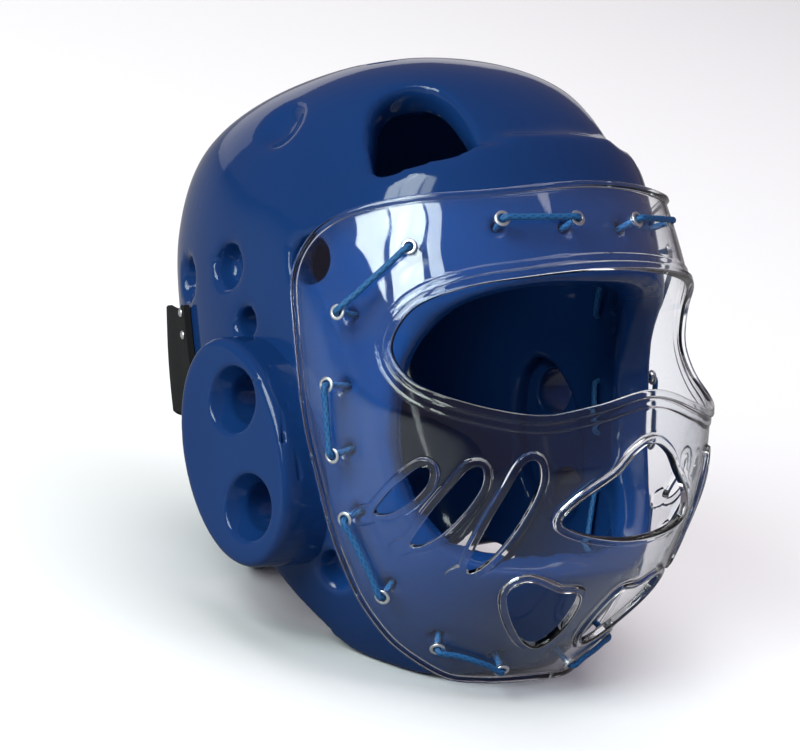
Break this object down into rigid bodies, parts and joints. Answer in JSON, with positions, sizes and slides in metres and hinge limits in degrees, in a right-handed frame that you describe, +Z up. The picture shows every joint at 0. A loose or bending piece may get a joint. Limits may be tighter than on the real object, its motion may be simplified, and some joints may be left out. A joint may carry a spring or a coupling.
{
  "type": "head guard with visor",
  "caption": "Dipped-foam head guard for contact sport, with ear pads, crown vents and a clear visor laced over the face.",
  "frame": {"origin": "on the surface it rests on, under the middle of the guard's box", "axes": "-Y towards the front of the visor, +X towards the wearer's left, +Z up"},
  "size_m": [0.23, 0.2826, 0.2481],
  "materials": {
    "foam": "glossy dipped vinyl",
    "clear_sheet": "clear polished",
    "nickel": "nickel plated",
    "lace": "woven",
    "web": "woven elastic"
  },
  "bodies": {
    "root": {"foam_shell": "foam", "ear_pad_right": "foam", "ear_pad_left": "foam", "visor": "clear_sheet", "eyelet_brow_right_a": "nickel", "eyelet_brow_right_b": "nickel", "eyelet_temple_right_a": "nickel", "eyelet_temple_right_b": "nickel", "eyelet_cheek_right_a": "nickel", "eyelet_cheek_right_b": "nickel", "eyelet_jaw_right_a": "nickel", "eyelet_jaw_right_b": "nickel", "eyelet_chin_right_a": "nickel", "eyelet_chin_right_b": "nickel", "eyelet_brow_left_a": "nickel", "eyelet_brow_left_b": "nickel", "eyelet_temple_left_a": "nickel", "eyelet_temple_left_b": "nickel", "eyelet_cheek_left_a": "nickel", "eyelet_cheek_left_b": "nickel", "eyelet_jaw_left_a": "nickel", "eyelet_jaw_left_b": "nickel", "eyelet_chin_left_a": "nickel", "eyelet_chin_left_b": "nickel", "lace_brow_right": "lace", "lace_temple_right": "lace", "lace_cheek_right": "lace", "lace_jaw_right": "lace", "lace_chin_right": "lace", "lace_brow_left": "lace", "lace_temple_left": "lace", "lace_cheek_left": "lace", "lace_jaw_left": "lace", "lace_chin_left": "lace", "rear_strap": "web", "strap_rivet_right_1": "nickel", "strap_rivet_right_2": "nickel", "strap_rivet_left_1": "nickel", "strap_rivet_left_2": "nickel"}
  },
  "joints": []
}
